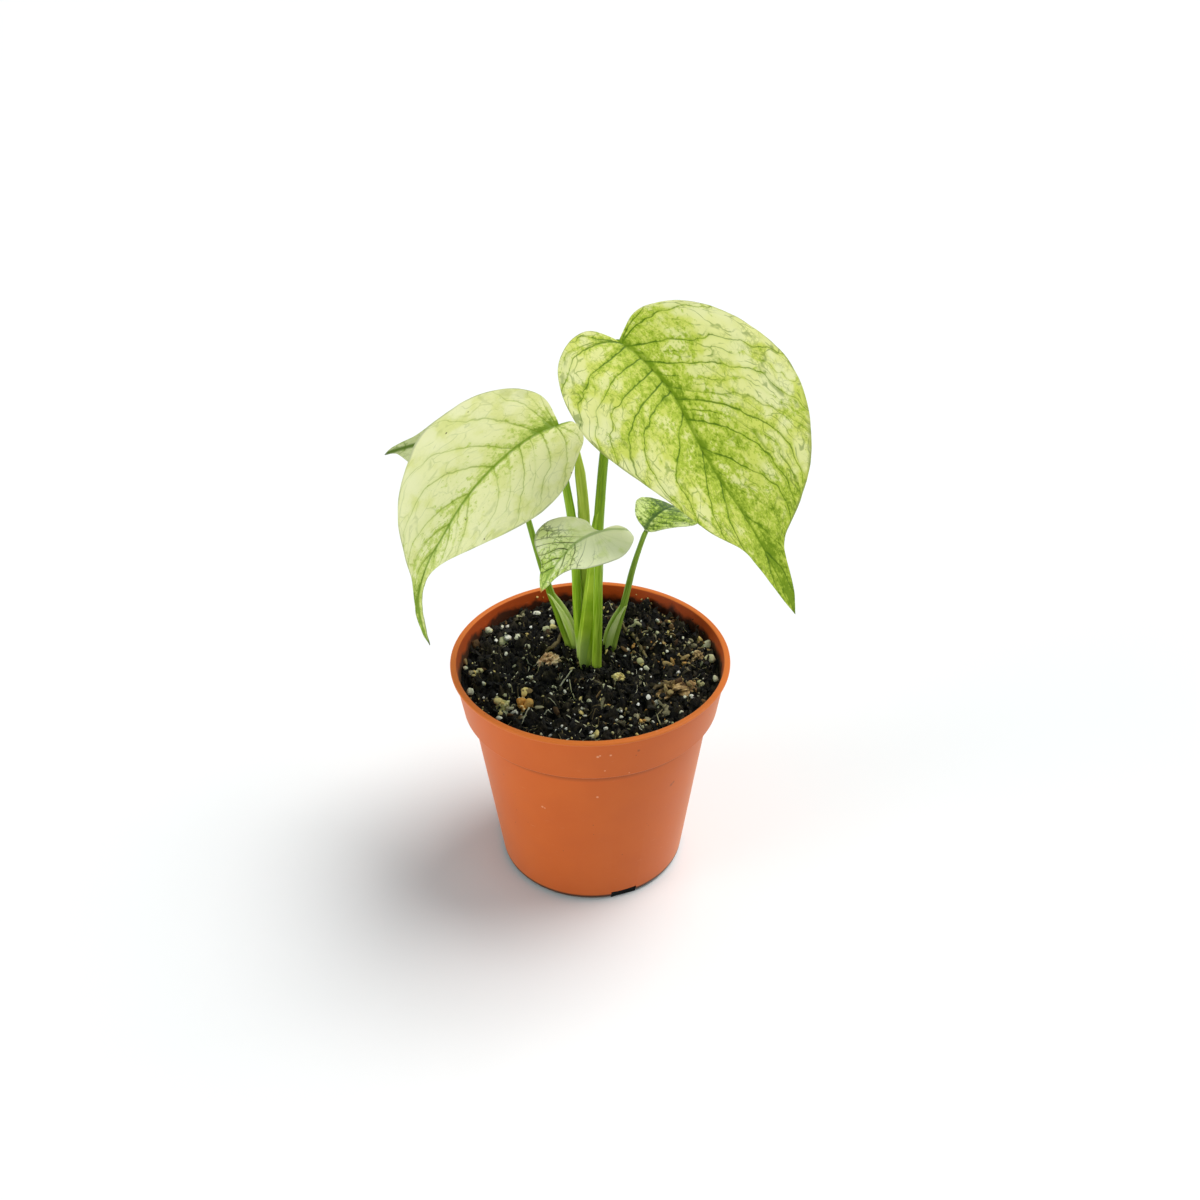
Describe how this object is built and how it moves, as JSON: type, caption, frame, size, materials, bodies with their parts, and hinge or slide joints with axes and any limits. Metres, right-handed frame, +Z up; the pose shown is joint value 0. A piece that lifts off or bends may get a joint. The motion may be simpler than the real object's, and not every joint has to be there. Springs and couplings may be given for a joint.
{
  "type": "potted mint monstera",
  "caption": "Young climbing house plant with pale heart-shaped, green-veined leaves on upright stalks, rooted in dark mix in a tapered round nursery pot.",
  "frame": {"origin": "centre of the pot's flat underside, where the pot stands", "axes": "+Z is up along the pot's axis and -Y is the plant's front, the side of the small front leaf"},
  "size_m": [0.1673, 0.12, 0.259],
  "materials": {
    "terracotta_plastic": "satin",
    "potting_mix": "matte",
    "bark": "matte",
    "clay_grain": "matte",
    "mint_blade": "satin",
    "stalk": "satin",
    "new_leaf": "satin"
  },
  "bodies": {
    "root": {"pot": "terracotta_plastic", "potting_mix": "potting_mix", "bark_lump_left": "bark", "bark_chunk_right": "bark", "bark_chip_right": "bark", "clay_grain_middle": "clay_grain", "clay_grain_left": "clay_grain", "clay_grain_orange": "clay_grain", "stalk_large_right": "stalk", "blade_large_right": "mint_blade", "stalk_large_left": "stalk", "blade_large_left": "mint_blade", "stalk_small_left": "stalk", "blade_small_left": "mint_blade", "stalk_small_front": "stalk", "blade_small_front": "mint_blade", "stalk_small_right": "stalk", "blade_small_right": "mint_blade", "new_leaf_spear": "new_leaf"}
  },
  "joints": []
}
